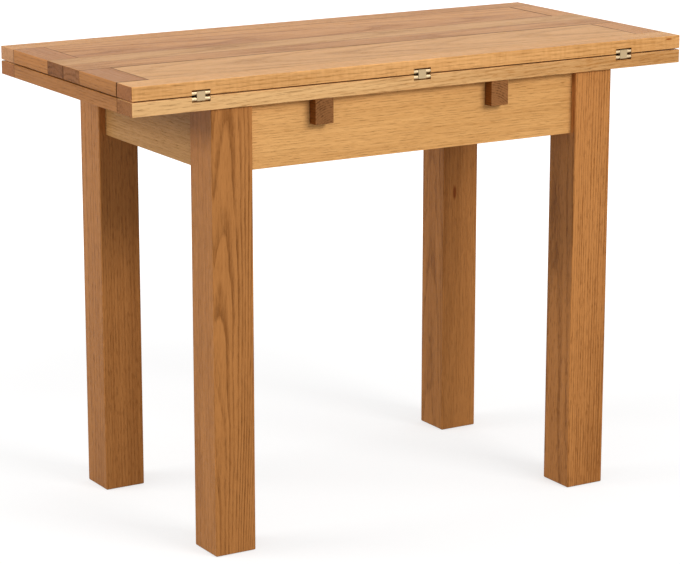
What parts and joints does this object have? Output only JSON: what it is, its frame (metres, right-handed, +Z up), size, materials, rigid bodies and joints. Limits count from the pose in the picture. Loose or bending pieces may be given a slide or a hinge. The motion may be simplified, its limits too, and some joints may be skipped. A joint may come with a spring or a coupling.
{
  "type": "extending dining table",
  "caption": "Fold-over oak dining table: stacked leaves hinged along one long edge slide back on runners, so the upper leaf unfolds over the square-legged frame.",
  "frame": {"origin": "on the floor, under the middle of the closed top", "axes": "+X along the hinged front edge, -Y towards the hinged front, +Z up"},
  "size_m": [1.02, 0.474, 0.76],
  "materials": {
    "oak_top": "satin lacquered oak",
    "oak_end_board": "satin lacquered oak, a little redder",
    "oak_apron": "satin lacquered oak, golden",
    "oak_leg": "satin lacquered oak, warm brown",
    "oak_runner": "lacquered oak, dark end grain",
    "oak_inside": "plain planed oak",
    "brass": "satin brass",
    "steel": "zinc plated",
    "felt": "brown felt"
  },
  "bodies": {
    "frame": {"leg_front_left": "oak_leg", "leg_front_right": "oak_leg", "leg_back_left": "oak_leg", "leg_back_right": "oak_leg", "apron_front": "oak_apron", "apron_back": "oak_apron", "apron_left": "oak_apron", "apron_right": "oak_apron", "corner_block_front_left": "oak_inside", "corner_block_front_right": "oak_inside", "corner_block_back_left": "oak_inside", "corner_block_back_right": "oak_inside", "leg_bolt_front_left": "steel", "leg_bolt_front_right": "steel", "leg_bolt_back_left": "steel", "leg_bolt_back_right": "steel", "guide_rail_left": "oak_inside", "guide_rail_right": "oak_inside", "guide_tongue_left": "oak_inside", "guide_tongue_right": "oak_inside"},
    "sliding_top": {"lower_front_rail": "oak_top", "lower_back_rail": "oak_top", "lower_end_board_left": "oak_end_board", "lower_end_board_right": "oak_end_board", "lower_field_board_1": "oak_top", "lower_field_board_2": "oak_top", "lower_field_board_3": "oak_top", "runner_left": "oak_runner", "runner_right": "oak_runner", "leaf_buffer_left": "felt", "leaf_buffer_right": "felt", "hinge_plate_lower_left": "brass", "hinge_plate_lower_middle": "brass", "hinge_plate_lower_right": "brass", "hinge_pin_lower_left": "steel", "hinge_pin_lower_middle": "steel", "hinge_pin_lower_right": "steel"},
    "hinge_links": {"hinge_link_left": "brass", "hinge_link_middle": "brass", "hinge_link_right": "brass"},
    "flip_leaf": {"upper_front_rail": "oak_top", "upper_back_rail": "oak_top", "upper_centre_board_front": "oak_top", "upper_centre_board_back": "oak_top", "upper_panel_front": "oak_top", "upper_panel_back": "oak_top", "upper_end_board_front_left": "oak_end_board", "upper_end_board_front_right": "oak_end_board", "upper_end_board_back_left": "oak_end_board", "upper_end_board_back_right": "oak_end_board", "hinge_plate_upper_left": "brass", "hinge_plate_upper_middle": "brass", "hinge_plate_upper_right": "brass", "hinge_pin_upper_left": "steel", "hinge_pin_upper_middle": "steel", "hinge_pin_upper_right": "steel"}
  },
  "joints": [
    {"name": "top_slide", "type": "slide", "parent": "frame", "child": "sliding_top", "axis": [0, 1, 0], "range_m": [0, 0.238]},
    {"name": "link_fold", "type": "hinge", "parent": "sliding_top", "child": "hinge_links", "pos_m": [0, -0.2335, 0.7325], "axis": [1, 0, 0], "range_deg": [0, 90]},
    {"name": "leaf_fold", "type": "hinge", "parent": "hinge_links", "child": "flip_leaf", "pos_m": [0, -0.2335, 0.7415], "axis": [1, 0, 0], "range_deg": [0, 90]}
  ]
}
